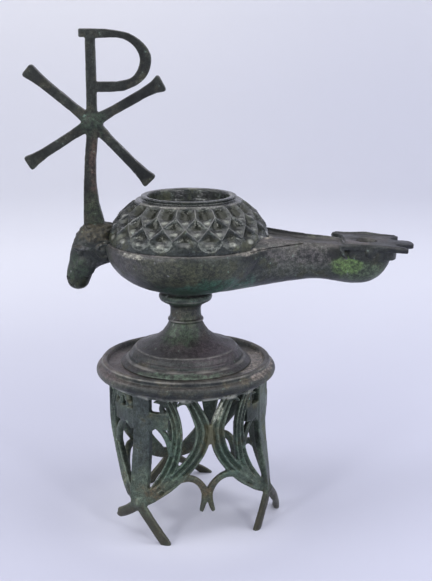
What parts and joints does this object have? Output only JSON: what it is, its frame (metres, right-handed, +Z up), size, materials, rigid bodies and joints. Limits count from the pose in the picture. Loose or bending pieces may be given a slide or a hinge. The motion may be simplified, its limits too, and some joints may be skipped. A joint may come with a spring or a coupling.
{
  "type": "oil lamp",
  "caption": "Bronze oil lamp with scaled dome, spouted nozzle, animal-head handle and monogram finial, on an openwork leaf stand.",
  "frame": {"origin": "centre of the bounding box's base, on the ground that the feet stand on", "axes": "+X along the lamp towards the nozzle, +Y to its far side, +Z up"},
  "size_m": [0.206, 0.1046, 0.267],
  "materials": {
    "lamp": "dark green-brown patinated bronze",
    "stand": "dark green-brown patinated bronze"
  },
  "bodies": {
    "root": {"lamp": "lamp", "stand": "stand"}
  },
  "joints": []
}
